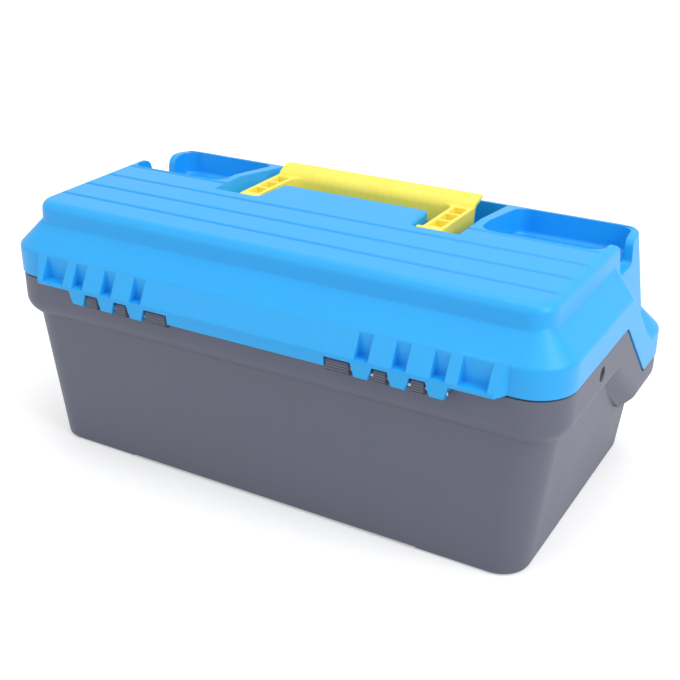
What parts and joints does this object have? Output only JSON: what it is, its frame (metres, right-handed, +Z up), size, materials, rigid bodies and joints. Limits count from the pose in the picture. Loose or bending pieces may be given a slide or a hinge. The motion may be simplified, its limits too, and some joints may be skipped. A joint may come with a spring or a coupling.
{
  "type": "tackle box",
  "caption": "Plastic tackle box: flared tub, hinged grooved lid with open top trays, fold-down carry handle, snap latches and a lift-out tray.",
  "frame": {"origin": "middle of the box on the plane its feet stand on", "axes": "+X along the length, +Y from the hinge side to the latch side, +Z up"},
  "size_m": [0.38, 0.2266, 0.1704],
  "materials": {
    "tub_plastic": "fine-textured dark grey moulding",
    "lid_plastic": "satin sky-blue moulding",
    "handle_plastic": "satin yellow moulding",
    "latch_plastic": "satin yellow moulding",
    "tray_plastic": "fine-textured dark grey moulding",
    "divider_plastic": "fine-textured grey moulding",
    "pin_steel": "drawn bright steel"
  },
  "bodies": {
    "tub": {"base_tub": "tub_plastic", "hinge_pin_left": "pin_steel", "hinge_pin_right": "pin_steel"},
    "lid": {"lid": "lid_plastic", "handle_pin_left": "pin_steel", "handle_pin_right": "pin_steel", "latch_pin_left": "pin_steel", "latch_pin_right": "pin_steel"},
    "handle": {"carry_handle": "handle_plastic"},
    "latch_left": {"latch_left": "latch_plastic"},
    "latch_right": {"latch_right": "latch_plastic"},
    "tray": {"lift_out_tray": "tray_plastic", "tray_divider_1": "divider_plastic", "tray_divider_2": "divider_plastic", "tray_divider_3": "divider_plastic", "tray_divider_4": "divider_plastic"}
  },
  "joints": [
    {"name": "lid_hinge", "type": "hinge", "parent": "tub", "child": "lid", "pos_m": [0, -0.1093, 0.1172], "axis": [1, 0, 0], "range_deg": [0, 105]},
    {"name": "handle_pivot", "type": "hinge", "parent": "lid", "child": "handle", "pos_m": [0, -0.0025, 0.1585], "axis": [1, 0, 0], "range_deg": [0, 95]},
    {"name": "latch_left_pivot", "type": "hinge", "parent": "lid", "child": "latch_left", "pos_m": [-0.105, 0.1094, 0.0865], "axis": [1, 0, 0], "range_deg": [0, 110]},
    {"name": "latch_right_pivot", "type": "hinge", "parent": "lid", "child": "latch_right", "pos_m": [0.105, 0.1094, 0.0865], "axis": [1, 0, 0], "range_deg": [0, 110]},
    {"name": "tray_lift", "type": "slide", "parent": "tub", "child": "tray", "axis": [0, 0, 1], "range_m": [0, 0.03]}
  ]
}
